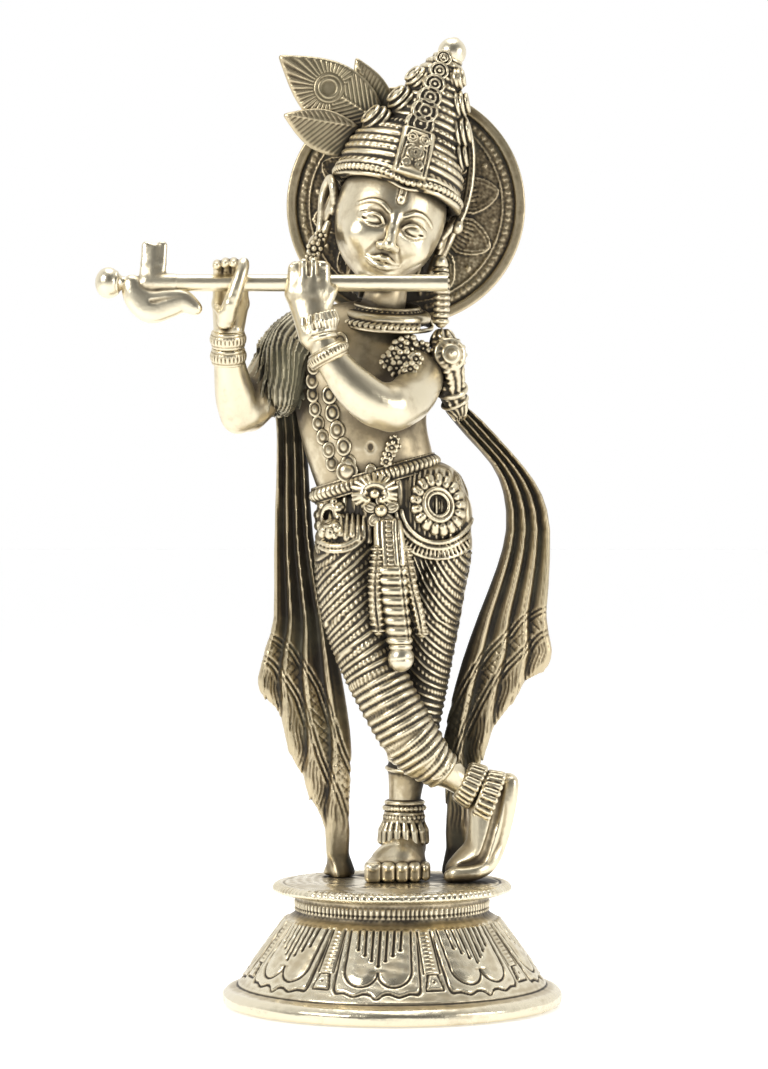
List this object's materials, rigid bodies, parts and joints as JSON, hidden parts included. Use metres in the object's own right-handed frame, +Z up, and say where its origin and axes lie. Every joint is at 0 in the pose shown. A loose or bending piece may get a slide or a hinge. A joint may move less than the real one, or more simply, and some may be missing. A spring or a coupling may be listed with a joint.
{
  "type": "figurine",
  "caption": "Cast brass figurine of a standing flute player with halo, tall crown and hanging shawl, on a round hollow bell pedestal; the flute slides out of the hands.",
  "frame": {"origin": "centre of the pedestal's foot ring, on the plane it stands on", "axes": "+Z up, the figure faces -Y, +X is the figure's left, the side its crown leans to"},
  "size_m": [0.1441, 0.106, 0.3025],
  "materials": {
    "polished_brass": "hand polished, smooth skin areas",
    "chased_brass": "chased ornament, dark patina left in the grooves",
    "bright_brass": "buffed",
    "weathered_brass": "chased, mostly dark patina",
    "pedestal_brass": "turned and buffed, dark patina in the engraving"
  },
  "bodies": {
    "statue": {"pedestal_bell": "pedestal_brass", "deck_plate": "pedestal_brass", "deck_screws": "bright_brass", "deck_washers": "bright_brass", "standing_leg": "chased_brass", "standing_foot": "polished_brass", "standing_anklet": "chased_brass", "crossed_leg": "chased_brass", "crossed_foot": "polished_brass", "crossed_anklets": "chased_brass", "hips": "chased_brass", "torso": "polished_brass", "neck": "polished_brass", "head": "polished_brass", "ears": "polished_brass", "back_hair": "weathered_brass", "right_upper_arm": "polished_brass", "right_forearm": "polished_brass", "right_hand": "polished_brass", "right_bracelets": "chased_brass", "left_upper_arm": "polished_brass", "left_forearm": "polished_brass", "left_hand": "polished_brass", "left_bracelet": "chased_brass", "left_hand_jewel": "bright_brass", "crown_band": "chased_brass", "crown_cap": "chased_brass", "crown_cone": "chased_brass", "crown_front_plate": "chased_brass", "crown_fans": "chased_brass", "crown_finial": "bright_brass", "crown_ribbon": "chased_brass", "feather_plume": "weathered_brass", "feather_leaf_upper": "weathered_brass", "feather_leaf_lower": "weathered_brass", "halo_disc": "weathered_brass", "halo_stud": "bright_brass", "halo_nut": "bright_brass", "right_earring": "chased_brass", "left_earring": "chased_brass", "collar": "chased_brass", "bead_garland": "chased_brass", "garland_pendant": "chased_brass", "flower_garland": "chased_brass", "belt": "chased_brass", "belt_leaves": "chased_brass", "belt_flower": "chased_brass", "hip_medallion": "chased_brass", "hip_swags": "chased_brass", "front_sash": "chased_brass", "sash_ball": "bright_brass", "sash_loops": "chased_brass", "shoulder_cape": "weathered_brass", "right_shawl_tail": "weathered_brass", "shawl_back": "weathered_brass", "shawl_knot": "chased_brass", "left_shawl_tail": "weathered_brass"},
    "flute": {"flute_tube": "bright_brass", "flute_ribbon": "bright_brass", "flute_knob": "bright_brass"}
  },
  "joints": [
    {"name": "flute_slide", "type": "slide", "parent": "statue", "child": "flute", "axis": [-1, 0, 0], "range_m": [-0.003, 0.034]}
  ]
}
